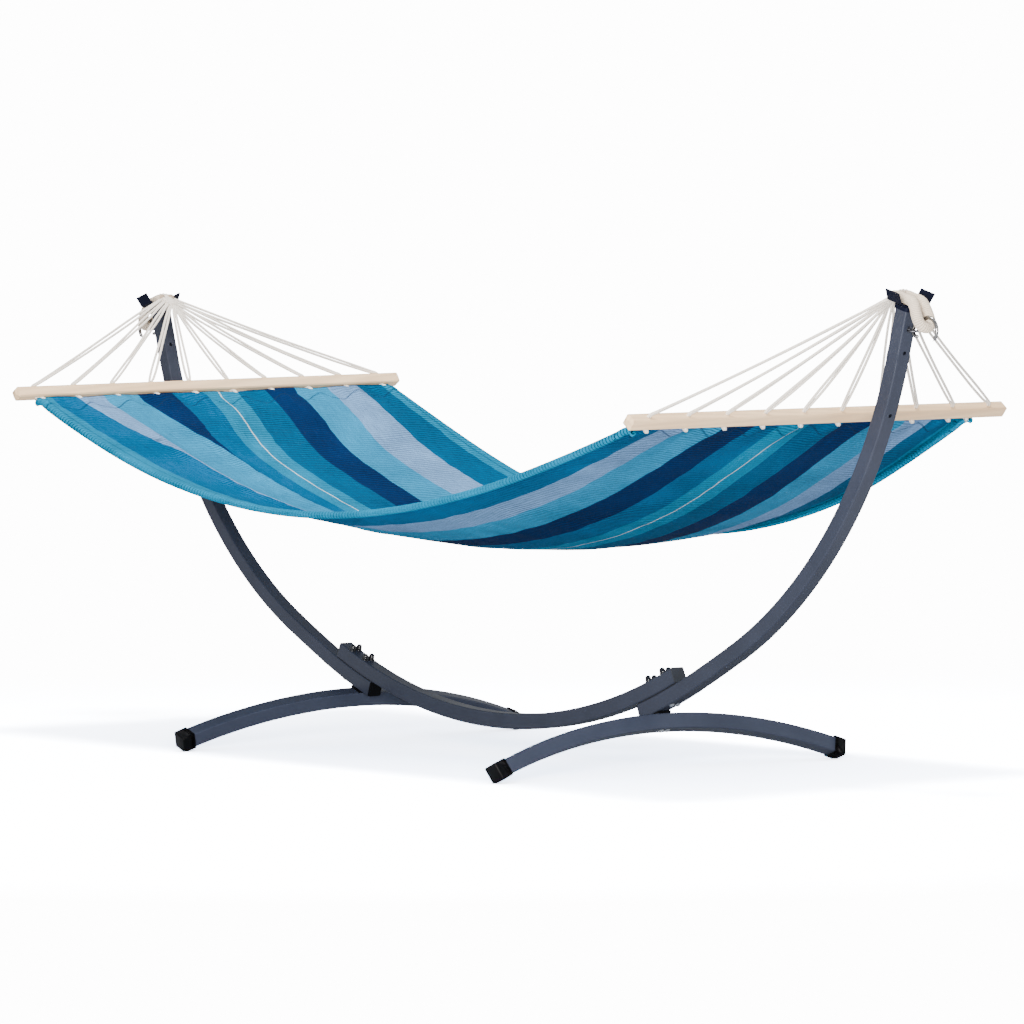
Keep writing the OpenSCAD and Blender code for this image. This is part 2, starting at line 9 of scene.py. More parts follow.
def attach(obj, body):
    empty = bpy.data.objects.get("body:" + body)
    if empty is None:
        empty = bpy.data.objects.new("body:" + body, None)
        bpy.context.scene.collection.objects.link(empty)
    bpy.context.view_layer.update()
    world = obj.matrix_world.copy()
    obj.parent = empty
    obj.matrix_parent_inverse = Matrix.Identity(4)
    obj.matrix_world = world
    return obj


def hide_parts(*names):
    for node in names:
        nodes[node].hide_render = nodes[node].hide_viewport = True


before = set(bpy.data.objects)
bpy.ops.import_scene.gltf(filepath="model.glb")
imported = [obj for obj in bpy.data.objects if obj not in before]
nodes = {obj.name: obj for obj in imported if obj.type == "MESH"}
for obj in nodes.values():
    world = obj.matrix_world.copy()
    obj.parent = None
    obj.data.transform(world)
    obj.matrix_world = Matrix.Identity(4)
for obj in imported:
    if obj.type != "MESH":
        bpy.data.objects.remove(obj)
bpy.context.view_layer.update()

random.seed(7)

LEFT, RIGHT = -1, 1
SIDES = (LEFT, RIGHT)
SIDE_NAME = {LEFT: "left", RIGHT: "right"}

# ---------------------------------------------------------------- sizes, in metres

TUBE = 0.040
PAD = 0.002
ARC_RADIUS = 1.680
ARC_HALF = math.radians(24.4)
LAP = 0.160
LAP_RADIUS = ARC_RADIUS + TUBE + PAD
ARM_EXTRA = 0.040
SHANK_RADIUS, SHANK_LENGTH = 5.400, 0.195
BEND_RADIUS, BEND_LENGTH = 1.190, 0.960
TOP_LENGTH = 0.125
FOOT_RADIUS = 1.585
FOOT_HALF = math.radians(20.5)
FOOT_STATION = 0.054
SADDLE = 0.0055
CAP_WALL, CAP_LENGTH = 0.003, 0.033
SOLE_CUT = 0.005
BOLT_ROWS = (0.054, 0.116)
BOLT_PAIR = 0.020
SEAT_GAP = 0.0001
CRADLE_PLATE = 0.0035
LOOP_D = 0.027
LOOP_GAP = 0.001
TWINE_PITCH = 0.0042
SWING_OVER_ROPE = 0.0095
BAR_DEPTH = 0.030
CORD_PITCH = 0.124
CORD_COUNT = 10
CORD_D = 0.0068
HEM_GAP = 0.005
HEM_ROPE_R = 0.0025
BAR_INSET = {LEFT: 0.238, RIGHT: 0.314}
BAR_DROP = {LEFT: 0.244, RIGHT: 0.290}
BAR_LEAN = {LEFT: math.radians(-30), RIGHT: math.radians(40)}
BAR_FALL = {LEFT: math.radians(1.0), RIGHT: math.radians(0.4)}
BAR_SPLAY = math.radians(2.5)
HALF_WIDTH = 0.575
HALF_LENGTH = 1.316
HEM_NEAR = {LEFT: -0.560, RIGHT: -0.603}
HEM_FAR = {LEFT: 0.588, RIGHT: 0.520}


def along(angle):
    return Vector((math.cos(angle), 0, math.sin(angle)))


def inward(angle):
    return Vector((-math.sin(angle), 0, math.cos(angle)))


# The centre line of an arm, worked out from its bends as the steel is bent.
arm_start = ARC_HALF - LAP / LAP_RADIUS
shank_start_angle = arm_start + (LAP + ARM_EXTRA) / LAP_RADIUS
bend_start_angle = shank_start_angle + SHANK_LENGTH / SHANK_RADIUS
top_angle = bend_start_angle + BEND_LENGTH / BEND_RADIUS
arc_centre = Vector((0, 0, ARC_RADIUS))
shank_start = arc_centre - LAP_RADIUS * inward(shank_start_angle)
shank_centre = shank_start + SHANK_RADIUS * inward(shank_start_angle)
bend_centre = shank_centre - (SHANK_RADIUS - BEND_RADIUS) * inward(bend_start_angle)
arm_top = bend_centre - BEND_RADIUS * inward(top_angle) + TOP_LENGTH * along(top_angle)
foot_angle = arm_start + FOOT_STATION / LAP_RADIUS
foot_apex = arc_centre - (LAP_RADIUS + TUBE + SADDLE) * inward(foot_angle)
cap_w = TUBE + 2 * CAP_WALL
cap_reach = (FOOT_RADIUS * (1 - math.cos(FOOT_HALF)) + CAP_WALL * math.sin(FOOT_HALF)
             + cap_w / 2 * math.cos(FOOT_HALF))
arc_height = -(foot_apex.z - cap_reach * math.cos(foot_angle)
               - cap_w / 2 * math.sin(foot_angle) + SOLE_CUT)
UP = Vector((0, 0, arc_height))
saddle = arm_top + CRADLE_PLATE * along(top_angle)
rope_rise = saddle.z + LOOP_D / 2 + LOOP_GAP
swing_rise = rope_rise + SWING_OVER_ROPE


def mirrored(point, side):
    return Vector((side * point[0], point[1], point[2]))


def bar_matrix(side):
    """The place of a spreader bar, whose own Z runs along its cord holes."""
    centre = Vector((side * (arm_top.x - BAR_INSET[side]), 0, swing_rise - BAR_DROP[side])) + UP
    return (Matrix.Translation(centre) @ Matrix.Rotation(side * BAR_SPLAY, 4, "Z")
            @ Matrix.Rotation(BAR_FALL[side], 4, "X") @ Matrix.Rotation(BAR_LEAN[side], 4, "Y"))


BAR = {side: bar_matrix(side) for side in SIDES}


def cord_y(i):
    return (i - (CORD_COUNT - 1) / 2) * CORD_PITCH


def smooth_step(x):
    x = min(max(x, 0.0), 1.0)
    return x * x * (3 - 2 * x)


# ---------------------------------------------------------------- camera and light

TARGET = Vector((0.0309, 0, 0.536)) + UP
CAM_AZ, CAM_EL, CAM_ROLL = math.radians(51.963), math.radians(2.2075), math.radians(-0.366)
CAM_DISTANCE = 14.797
CAM_LENS, SENSOR_WIDTH, CAM_REACH = 203.23, 36, 200


def add_camera():
    data = bpy.data.cameras.new("camera")
    data.lens, data.sensor_width = CAM_LENS, SENSOR_WIDTH
    data.clip_end = CAM_REACH
    cam = bpy.data.objects.new("camera", data)
    bpy.context.collection.objects.link(cam)
    out = Vector((math.sin(CAM_AZ) * math.cos(CAM_EL), -math.cos(CAM_AZ) * math.cos(CAM_EL),
                  math.sin(CAM_EL)))
    turn = out.to_track_quat("Z", "Y").to_matrix().to_4x4() @ Matrix.Rotation(CAM_ROLL, 4, "Z")
    cam.matrix_world = Matrix.Translation(TARGET + CAM_DISTANCE * out) @ turn
    bpy.context.scene.camera = cam


add_camera()

SKY = (0.95, 0.975, 1.0)
SKY_STRENGTH = 0.75
BACKDROP = (1.0, 1.0, 1.0)
BACKDROP_STRENGTH = 14.0
LIGHT_AIM = (0, 0, 0.6)


def add_light(name, place, size, power, colour):
    data = bpy.data.lights.new(name, "AREA")
    data.shape, data.size, data.size_y = "RECTANGLE", size[0], size[1]
    data.energy, data.color = power, colour
    lamp = bpy.data.objects.new(name, data)
    bpy.context.collection.objects.link(lamp)
    place = Vector(place)
    lamp.matrix_world = (Matrix.Translation(place)
                         @ (place - Vector(LIGHT_AIM)).to_track_quat("Z", "Y").to_matrix().to_4x4())


def add_world():
    world = bpy.data.worlds.new("studio")
    bpy.context.scene.world = world
    world.use_nodes = True
    tree = world.node_tree
    sky = tree.nodes["Background"]
    sky.inputs["Color"].default_value = (*SKY, 1)
    sky.inputs["Strength"].default_value = SKY_STRENGTH
    seen = tree.nodes.new("ShaderNodeBackground")
    seen.inputs["Color"].default_value = (*BACKDROP, 1)
    seen.inputs["Strength"].default_value = BACKDROP_STRENGTH
    path = tree.nodes.new("ShaderNodeLightPath")
    mix = tree.nodes.new("ShaderNodeMixShader")
    tree.links.new(path.outputs["Is Camera Ray"], mix.inputs["Fac"])
    tree.links.new(sky.outputs["Background"], mix.inputs[1])
    tree.links.new(seen.outputs["Background"], mix.inputs[2])
    tree.links.new(mix.outputs["Shader"], tree.nodes["World Output"].inputs["Surface"])


add_world()
add_light("overhead", place=(0.5, -0.5, 6.0), size=(1.5, 1.2), power=470, colour=(1.0, 0.985, 0.96))
add_light("front_fill", place=(5.5, -5.0, 1.1), size=(4, 2), power=1000, colour=(1.0, 0.975, 0.94))

# ---------------------------------------------------------------- materials


class Nodes:
    """A short way to write a material's node tree."""

    def __init__(self, name):
        self.material = bpy.data.materials.new(name)
        self.material.use_nodes = True
        self.tree = self.material.node_tree
        self.shader = self.tree.nodes["Principled BSDF"]
        self.output = self.tree.nodes["Material Output"]

    def add(self, kind, **values):
        node = self.tree.nodes.new(kind)
        for key, value in values.items():
            if hasattr(node, key):
                setattr(node, key, value)
            else:
                node.inputs[key.replace("_", " ")].default_value = value
        return node

    def link(self, a, b):
        self.tree.links.new(a, b)

    def put(self, **values):
        for key, value in values.items():
            self.shader.inputs[key.replace("_", " ")].default_value = value

    def coords(self, scale=(1, 1, 1), turn=(0, 0, 0), source="Object"):
        place = self.add("ShaderNodeTexCoord")
        mapping = self.add("ShaderNodeMapping")
        mapping.inputs["Scale"].default_value = scale
        mapping.inputs["Rotation"].default_value = turn
        self.link(place.outputs[source], mapping.inputs["Vector"])
        return mapping.outputs["Vector"]

    def noise(self, vector, scale, detail=3.0, rough=0.5, distortion=0.0):
        node = self.add("ShaderNodeTexNoise")
        node.inputs["Scale"].default_value = scale
        node.inputs["Detail"].default_value = detail
        node.inputs["Roughness"].default_value = rough
        node.inputs["Distortion"].default_value = distortion
        self.link(vector, node.inputs["Vector"])
        return node.outputs["Fac"]

    def ramp(self, fac, stops, mode="LINEAR"):
        node = self.add("ShaderNodeValToRGB")
        node.color_ramp.interpolation = mode
        steps = node.color_ramp.elements
        while len(steps) < len(stops):
            steps.new(1.0)
        for step, (place, colour) in zip(steps, stops):
            step.position = place
            step.color = (*colour, 1) if len(colour) == 3 else colour
        self.link(fac, node.inputs["Fac"])
        return node.outputs["Color"]

    def grey(self, fac, low, high, start=0.0, end=1.0):
        node = self.add("ShaderNodeMapRange")
        node.inputs["From Min"].default_value = start
        node.inputs["From Max"].default_value = end
        node.inputs["To Min"].default_value = low
        node.inputs["To Max"].default_value = high
        self.link(fac, node.inputs["Value"])
        return node.outputs["Result"]

    def math(self, kind, a, b=None, c=None):
        node = self.add("ShaderNodeMath", operation=kind)
        for socket, value in zip(node.inputs, (a, b, c)):
            if value is None:
                continue
            if isinstance(value, (int, float)):
                socket.default_value = value
            else:
                self.link(value, socket)
        return node.outputs["Value"]

    def mix(self, fac, a, b, blend="MIX"):
        node = self.add("ShaderNodeMix", data_type="RGBA", blend_type=blend)
        for name, value in (("Factor", fac), ("A", a), ("B", b)):
            socket = [s for s in node.inputs if s.name == name and s.enabled][0]
            if isinstance(value, (int, float)):
                socket.default_value = value
            elif isinstance(value, tuple):
                socket.default_value = (*value, 1)
            else:
                self.link(value, socket)
        return [s for s in node.outputs if s.enabled][0]

    def bump(self, height, strength, distance, under=None):
        node = self.add("ShaderNodeBump")
        node.inputs["Strength"].default_value = strength
        node.inputs["Distance"].default_value = distance
        self.link(height, node.inputs["Height"])
        if under is not None:
            self.link(under, node.inputs["Normal"])
        return node.outputs["Normal"]

    def finish(self, colour=None, rough=None, normal=None):
        for value, name in ((colour, "Base Color"), (rough, "Roughness"), (normal, "Normal")):
            if value is not None:
                self.link(value, self.shader.inputs[name])
        return self.material


FLOOR_BOUNCE = (0.60, 0.62, 0.66)
FLOOR_SEEN = (9.5, 9.9, 11.0)
FLOOR_FADE = (1.9, 3.6)
FLOOR_RADIUS = 60


def floor_material():
    """A pale floor that fades into the backdrop away from the object."""
    n = Nodes("studio_floor")
    place = n.add("ShaderNodeTexCoord")
    length = n.add("ShaderNodeVectorMath", operation="LENGTH")
    n.link(place.outputs["Object"], length.inputs[0])
    far = n.grey(length.outputs["Value"], 0.0, 1.0, *FLOOR_FADE)
    path = n.add("ShaderNodeLightPath")
    seen = path.outputs["Is Camera Ray"]
    diffuse = n.add("ShaderNodeBsdfDiffuse")
    n.link(n.mix(seen, FLOOR_BOUNCE, FLOOR_SEEN), diffuse.inputs["Color"])
    glow = n.add("ShaderNodeEmission")
    glow.inputs["Color"].default_value = (*BACKDROP, 1)
    glow.inputs["Strength"].default_value = BACKDROP_STRENGTH
    blend = n.add("ShaderNodeMixShader")
    n.link(n.math("MULTIPLY", far, seen), blend.inputs["Fac"])
    n.link(diffuse.outputs["BSDF"], blend.inputs[1])
    n.link(glow.outputs["Emission"], blend.inputs[2])
    n.link(blend.outputs["Shader"], n.output.inputs["Surface"])
    return n.material


def powder_coat(name, dark, light, rough=0.42, gloss=0.26):
    """Baked powder paint: a fine orange peel, slow clouds and light specks."""
    n = Nodes(name)
    place = n.coords()
    peel = n.noise(place, 900, 2)
    cloud = n.noise(place, 7, 4, 0.6)
    speck = n.noise(place, 2200, 1)
    colour = n.ramp(cloud, [(0.3, dark), (0.7, light)])
    colour = n.mix(n.grey(speck, 0.0, 0.22, 0.55, 0.8), colour, tuple(c * 1.8 for c in light))
    n.put(Metallic=0.0)
    n.shader.inputs["Specular IOR Level"].default_value = gloss
    return n.finish(colour, n.grey(cloud, rough - 0.05, rough + 0.07, 0.3, 0.7),
                    n.bump(peel, 0.18, 0.0004))


def moulded(name, dark, light, rough, gloss=0.5, grain=700):
    """Moulded plastic or rubber with a fine grain."""
    n = Nodes(name)
    place = n.coords()
    cloud = n.noise(place, 18, 3)
    fine = n.noise(place, grain, 2)
    n.shader.inputs["Specular IOR Level"].default_value = gloss
    return n.finish(n.ramp(cloud, [(0.3, dark), (0.75, light)]),
                    n.grey(fine, rough - 0.06, rough + 0.08, 0.3, 0.7),
                    n.bump(fine, 0.12, 0.0003))


def steel(name, dark, light, rough):
    """Bare or plated steel with fine polishing streaks."""
    n = Nodes(name)
    streak = n.noise(n.coords((40, 400, 40)), 6, 3)
    cloud = n.noise(n.coords(), 60, 3)
    n.put(Metallic=1.0)
    return n.finish(n.ramp(cloud, [(0.25, dark), (0.75, light)]),
                    n.grey(streak, rough - 0.05, rough + 0.1, 0.3, 0.7),
                    n.bump(streak, 0.06, 0.0002))


def beech():
    """Pale wood with its grain along the bar, dark pores and a thin varnish."""
    n = Nodes("varnished_beech")
    place = n.coords((26, 1.3, 26))
    warp = n.noise(n.coords((9, 1.1, 9)), 1.0, 4, 0.6, 0.6)
    rings = n.add("ShaderNodeTexWave", wave_type="BANDS", bands_direction="X")
    rings.inputs["Scale"].default_value = 1.1
    rings.inputs["Distortion"].default_value = 5.5
    rings.inputs["Detail"].default_value = 3.0
    rings.inputs["Detail Scale"].default_value = 1.2
    n.link(place, rings.inputs["Vector"])
    pores = n.noise(n.coords((1500, 55, 1500)), 1.0, 2)
    broad = n.ramp(warp, [(0.25, (0.76, 0.49, 0.26)), (0.5, (0.88, 0.63, 0.38)),
                          (0.78, (0.93, 0.72, 0.48))])
    colour = n.mix(n.grey(rings.outputs["Fac"], 0.0, 0.40), broad, (0.60, 0.40, 0.235))
    colour = n.mix(n.grey(pores, 0.0, 0.30, 0.58, 0.75), colour, (0.38, 0.23, 0.13))
    n.shader.inputs["Specular IOR Level"].default_value = 0.4
    n.put(Coat_Weight=0.12, Coat_Roughness=0.3)
    return n.finish(colour, n.grey(pores, 0.40, 0.55), n.bump(pores, 0.15, 0.0004))


def cotton_cord(name, dark, light, twist, lay=0.010, relief=0.12):
    """Twisted cotton. The UV map holds the turn round the cord and the length along it."""
    n = Nodes(name)
    place = n.add("ShaderNodeUVMap", uv_map="cord")
    parts = n.add("ShaderNodeSeparateXYZ")
    n.link(place.outputs["UV"], parts.inputs["Vector"])
    phase = n.math("ADD", n.math("MULTIPLY", parts.outputs["X"], twist),
                   n.math("MULTIPLY", parts.outputs["Y"], 1.0 / lay))
    strand = n.math("ABSOLUTE", n.math("SINE", n.math("MULTIPLY", phase, math.pi)))
    fuzz = n.noise(n.coords(), 1400, 3, 0.7)
    stain = n.noise(n.coords(), 9, 3)
    # Painted shade: the colour falls to the dark tone in the grooves between the twisted strands,
    # where the bump sinks too.
    strand_groove_shade = n.mix(n.grey(strand, 0.0, 1.0, 0.0, 0.75), dark, light)
    colour = n.mix(n.grey(stain, 0.0, 0.35, 0.35, 0.7), strand_groove_shade, tuple(c * 0.82 for c in light))
    n.put(Roughness=0.9, Sheen_Weight=0.1, Sheen_Roughness=0.5)
    n.shader.inputs["Specular IOR Level"].default_value = 0.15
    height = n.math("ADD", strand, n.math("MULTIPLY", fuzz, 0.5))
    return n.finish(colour, None, n.bump(height, relief, 0.0008))


CYAN = (0.000, 0.180, 0.330)
MID = (0.000, 0.090, 0.215)
LAVENDER = (0.140, 0.265, 0.470)
LIGHT = (0.018, 0.215, 0.400)
NAVY = (0.001, 0.018, 0.075)
DEEP = (0.000, 0.078, 0.180)
WHITE = (0.42, 0.52, 0.60)
RIB_PITCH = 0.0120
YARN_PITCH = 0.0016
EDGE_SEAM, EDGE_THREAD = 0.017, 0.0016
END_SEAM, SCALLOP, END_THREAD = 0.058, 0.016, 0.0030
STITCH_RATE = 1150.0
# The dyed stripes from the near edge to the far one, each with its width.
STRIPES = (
    (0.052, CYAN), (0.086, MID), (0.086, LAVENDER), (0.112, LIGHT), (0.106, NAVY), (0.097, MID),
    (0.051, CYAN), (0.0045, WHITE), (0.051, CYAN),
    (0.092, DEEP), (0.100, NAVY), (0.112, LIGHT), (0.094, LAVENDER), (0.084, DEEP), (0.0525, CYAN)
)
CLOTH_SPAN = 1.30


def stripe_stops():
    """Stops of a ramp over the cut width, centred in a span of fixed size."""
    edge = (CLOTH_SPAN - sum(width for width, _ in STRIPES)) / 2
    stops = [(0.0, STRIPES[0][1])]
    for (width, _), (_, after) in zip(STRIPES, STRIPES[1:]):
        edge += width
        stops.append((edge / CLOTH_SPAN, after))
    return stops


def striped_cotton():
    """Woven cotton. The UV map holds metres along the cloth and across it."""
    n = Nodes("striped_cotton")
    place = n.add("ShaderNodeUVMap", uv_map="weave")
    parts = n.add("ShaderNodeSeparateXYZ")
    n.link(place.outputs["UV"], parts.inputs["Vector"])
    length, across = parts.outputs["X"], parts.outputs["Y"]

    def stretched(x, y, detail=2.0):
        mapping = n.add("ShaderNodeMapping")
        mapping.inputs["Scale"].default_value = (x, y, 1)
        n.link(place.outputs["UV"], mapping.inputs["Vector"])
        return n.noise(mapping.outputs["Vector"], 1.0, detail, 0.6)

    wander = n.math("MULTIPLY", n.math("SUBTRACT", stretched(9, 3), 0.5), 0.010)
    place_across = n.math("ADD", across, wander)
    fac = n.math("ADD", n.math("DIVIDE", place_across, CLOTH_SPAN), 0.5)
    base = n.ramp(fac, stripe_stops(), "CONSTANT")

    # Uneven yarns, slubs and flecks only darken or lighten each dyed stripe; painted shade darkens
    # the grooves between the ribs, more in soft patches.
    warp = n.grey(stretched(14, 1300, 3.0), 0.60, 1.40, 0.30, 0.70)
    slub = n.grey(stretched(420, 60, 2.0), 1.0, 0.70, 0.50, 0.75)
    fade = n.grey(stretched(5, 5, 4.0), 0.86, 1.16, 0.30, 0.70)
    flecks = stretched(430, 430, 2.0)
    patch = n.grey(stretched(2.2, 3.0, 2.0), 0.25, 1.0, 0.40, 0.62)
    rib = n.math("SINE", n.math("MULTIPLY_ADD", length, 2 * math.pi / RIB_PITCH,
                                n.math("MULTIPLY", stretched(9, 7), 11.0)))
    rib_groove_depth_and_shade = n.math("MULTIPLY", n.grey(rib, 0.0, 1.0, 0.1, 1.0), patch)
    tone = n.math("MULTIPLY", n.math("MULTIPLY", warp, slub), fade)
    tone = n.math("MULTIPLY", tone, n.grey(flecks, 0.68, 1.36, 0.34, 0.66))
    # Painted shade: the colour darkens in the rib grooves, where the bump sinks too.
    tone = n.math("MULTIPLY", tone, n.math("SUBTRACT", 1.0, n.math("MULTIPLY", rib_groove_depth_and_shade, 0.72)))
    colour = n.mix(1.0, base, tone, "MULTIPLY")
    hem_line = n.math("LESS_THAN", n.math("ABSOLUTE", n.math(
        "SUBTRACT", n.math("ABSOLUTE", across), HALF_WIDTH - EDGE_SEAM)), EDGE_THREAD)
    colour = n.mix(n.math("MULTIPLY", hem_line, 0.6), colour, (0.002, 0.03, 0.07))

    # The hem seam near each bar: a scalloped line of dark thread.
    from_bar = n.math("SUBTRACT", HALF_LENGTH, n.math("ABSOLUTE", length))
    swing = n.math("COSINE", n.math("MULTIPLY", across, 2 * math.pi / CORD_PITCH))
    seam = n.math("SUBTRACT", from_bar, n.math("MULTIPLY_ADD", swing, SCALLOP, END_SEAM))
    on_seam = n.math("LESS_THAN", n.math("ABSOLUTE", seam), END_THREAD)
    stitch = n.math("GREATER_THAN", n.math("SINE", n.math("MULTIPLY", across, STITCH_RATE)), -0.55)
    thread = n.math("MULTIPLY", on_seam, stitch)
    colour = n.mix(n.math("MULTIPLY", thread, 0.85), colour, (0.006, 0.02, 0.05))

    yarn = n.math("SINE", n.math("MULTIPLY", across, 2 * math.pi / YARN_PITCH))
    weave = n.math("ADD", n.math("MULTIPLY", rib_groove_depth_and_shade, -4.0), n.math("MULTIPLY", yarn, 0.25))
    weave = n.math("ADD", weave, n.math("MULTIPLY", flecks, 0.9))
    sewn = n.math("MULTIPLY", on_seam, -2.5)
    normal = n.bump(weave, 0.55, 0.0006)
    normal = n.bump(sewn, 0.5, 0.0008, normal)
    n.put(Roughness=0.9)
    n.shader.inputs["Specular IOR Level"].default_value = 0.04
    return n.finish(colour, None, normal)


# ---------------------------------------------------------------- mesh helpers


def piece(name, bm, body, material, merged=True):
    """Turns a bmesh into a named object that rides on a body."""
    if merged:
        bmesh.ops.remove_doubles(bm, verts=bm.verts, dist=1e-6)
        bmesh.ops.recalc_face_normals(bm, faces=bm.faces)
    mesh = bpy.data.meshes.new(name)
    bm.to_mesh(mesh)
    bm.free()
    for face in mesh.polygons:
        face.use_smooth = True
    obj = bpy.data.objects.new(name, mesh)
    bpy.context.collection.objects.link(obj)
    mesh.materials.append(material)
    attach(obj, body)
    return obj


def path_length(route):
    return sum((b - a).length for a, b in zip(route, route[1:]))


def rounded(route, step):
    """A smooth route through the given points, with a point about every step."""
    points = [Vector(p) for p in route]
    padded = [2 * points[0] - points[1]] + points + [2 * points[-1] - points[-2]]
    out = []
    for i in range(1, len(padded) - 2):
        a, b, c, d = padded[i - 1:i + 3]
        count = max(1, round((c - b).length / step))
        for k in range(count):
            t = k / count
            out.append(0.5 * ((2 * b) + (c - a) * t + (2 * a - 5 * b + 4 * c - d) * t * t
                              + (3 * b - a - 3 * c + d) * t ** 3))
    out.append(points[-1])
    return out


def tube(bm, route, radius, sides, shape=None, up=(0.03, 0.05, 1)):
    """Sweeps a round section along a route, with its UV map. shape(run, turn) scales it."""
    uv = bm.loops.layers.uv.get("cord") or bm.loops.layers.uv.new("cord")
    rings, lengths, travelled = [], [], 0.0
    side = None
    for i, point in enumerate(route):
        ahead = (route[min(i + 1, len(route) - 1)] - route[max(i - 1, 0)]).normalized()
        if side is None:
            side = ahead.cross(Vector(up)).normalized()
        side = (side - ahead * side.dot(ahead)).normalized()
        other = ahead.cross(side)
        if i:
            travelled += (point - route[i - 1]).length
        ring = []
        for k in range(sides):
            turn = 2 * math.pi * k / sides
            r = radius * (shape(travelled, turn) if shape else 1.0)
            ring.append(bm.verts.new(point + r * (math.cos(turn) * side + math.sin(turn) * other)))
        rings.append(ring)
        lengths.append(travelled)
    for i in range(len(rings) - 1):
        for k in range(sides):
            m = (k + 1) % sides
            face = bm.faces.new((rings[i][k], rings[i][m], rings[i + 1][m], rings[i + 1][k]))
            for loop, (turn, run) in zip(face.loops, (
                    (k / sides, lengths[i]), ((k + 1) / sides, lengths[i]),
                    ((k + 1) / sides, lengths[i + 1]), (k / sides, lengths[i + 1]))):
                loop[uv].uv = (turn, run)
    bm.faces.new(list(reversed(rings[0])))
    bm.faces.new(rings[-1])


def lathe(bm, profile, place, segments):
    """Spins a profile of (radius, height) about Z and puts it in place."""
    before = set(bm.verts)
    verts = [bm.verts.new((r, 0, h)) for r, h in profile]
    edges = [bm.edges.new(pair) for pair in zip(verts, verts[1:])]
    bmesh.ops.spin(bm, geom=verts + edges, cent=(0, 0, 0), axis=(0, 0, 1),
                   angle=2 * math.pi, steps=segments, use_merge=True)
    made = [v for v in bm.verts if v not in before]
    bmesh.ops.transform(bm, matrix=place, verts=made)


def recoat(names, material):
    """Gives CAD nodes a finish of their own."""
    for name in names:
        nodes[name].data.materials.clear()
        nodes[name].data.materials.append(material)


# ---------------------------------------------------------------- floor

floor_bm = bmesh.new()
bmesh.ops.create_circle(floor_bm, cap_ends=True, segments=96, radius=FLOOR_RADIUS)
floor_mesh = bpy.data.meshes.new("floor")
floor_bm.to_mesh(floor_mesh)
floor_bm.free()
floor = bpy.data.objects.new("floor", floor_mesh)
floor_mesh.materials.append(floor_material())
bpy.context.collection.objects.link(floor)

# ---------------------------------------------------------------- stand finishes

slate = powder_coat("slate_powder_coat", (0.021, 0.025, 0.040), (0.029, 0.034, 0.053))
# Painted light: the feet wear a lighter copy of the same slate coat.
slate_coat_lit_copy_for_feet = powder_coat("slate_powder_coat_lit_copy_for_feet", (0.028, 0.034, 0.056), (0.038, 0.046, 0.073))
cradle_coat = powder_coat("blue_black_powder_coat", (0.0016, 0.0022, 0.008), (0.004, 0.006, 0.018),
                          rough=0.5, gloss=0.06)
cap_plastic = moulded("black_cap_plastic", (0.0008, 0.0008, 0.0012), (0.002, 0.002, 0.003),
                      rough=0.42, gloss=0.10)
nut_plastic = moulded("glossy_nut_cover", (0.003, 0.003, 0.004), (0.007, 0.007, 0.010),
                      rough=0.16, gloss=0.7)
rubber = moulded("black_rubber", (0.006, 0.006, 0.007), (0.014, 0.014, 0.016),
                 rough=0.7, gloss=0.25, grain=400)
plug_plastic = moulded("grey_plug_plastic", (0.012, 0.014, 0.020), (0.024, 0.028, 0.038), 0.45)
bright_zinc = steel("bright_zinc", (0.55, 0.56, 0.58), (0.78, 0.79, 0.80), 0.22)
dark_zinc = steel("dark_zinc", (0.10, 0.10, 0.12), (0.20, 0.20, 0.22), 0.32)
hook_steel = steel("polished_hook_steel", (0.18, 0.175, 0.17), (0.34, 0.335, 0.33), 0.20)
wood = beech()
cord_cotton = cotton_cord("twisted_cotton", (0.66, 0.57, 0.49), (0.84, 0.78, 0.70), twist=3.0)
whip_cotton = cotton_cord("whipped_cotton", (0.36, 0.26, 0.18), (0.80, 0.68, 0.54), twist=1.0,
                          lay=TWINE_PITCH, relief=0.7)

recoat(["centre_arc", "arm_left", "arm_right"], slate)
recoat(["foot_left", "foot_right"], slate_coat_lit_copy_for_feet)
recoat(["cradle_left", "cradle_right"], cradle_coat)
recoat(["foot_saddles", "arm_end_plugs"], cap_plastic)
recoat(["arc_end_plugs"], plug_plastic)
recoat(["lap_pads"], rubber)
recoat(["long_bolts", "short_bolts"], bright_zinc)
recoat(["eye_bolt_left", "eye_bolt_right"], dark_zinc)
recoat(["spreader_bar_left", "spreader_bar_right"], wood)

BAR_ARRIS, PLATE_ARRIS = 0.0012, 0.0006
for name, width in (("spreader_bar_left", BAR_ARRIS), ("spreader_bar_right", BAR_ARRIS),
                    ("cradle_left", PLATE_ARRIS), ("cradle_right", PLATE_ARRIS),
                    ("foot_saddles", PLATE_ARRIS)):
    soft = nodes[name].modifiers.new("softened_edges", "BEVEL")
    soft.width, soft.segments, soft.limit_method = width, 2, "ANGLE"
    soft.angle_limit = math.radians(35)

# ---------------------------------------------------------------- nuts and foot caps


def at_lap(side, station, depth, y):
    """A place on a lap joint, with Z up the bolts."""
    angle = arm_start + station / LAP_RADIUS
    point = arc_centre - (LAP_RADIUS - depth) * inward(angle) + UP
    place = Matrix.Translation((point.x, y, point.z)) @ Matrix.Rotation(-angle, 4, "Y")
    return place if side == RIGHT else Matrix.Diagonal((-1, 1, 1, 1)) @ place


# Flange and shoulder of a cover, then the dome over them, before the cover is scaled up.
COVER_FOOT = [(0.0078, 0.0), (0.0080, 0.0008), (0.0076, 0.0018), (0.0066, 0.0024)]
DOME_RADIUS, DOME_RISE, DOME_BASE = 0.0064, 0.0062, 0.0085
SKIRT_FOOT, SKIRT_TOP, SKIRT_DEPTH, SKIRT_MIDDLE = 0.0076, 0.0072, 0.0056, 0.0048
COVER_SCALE = 1.12


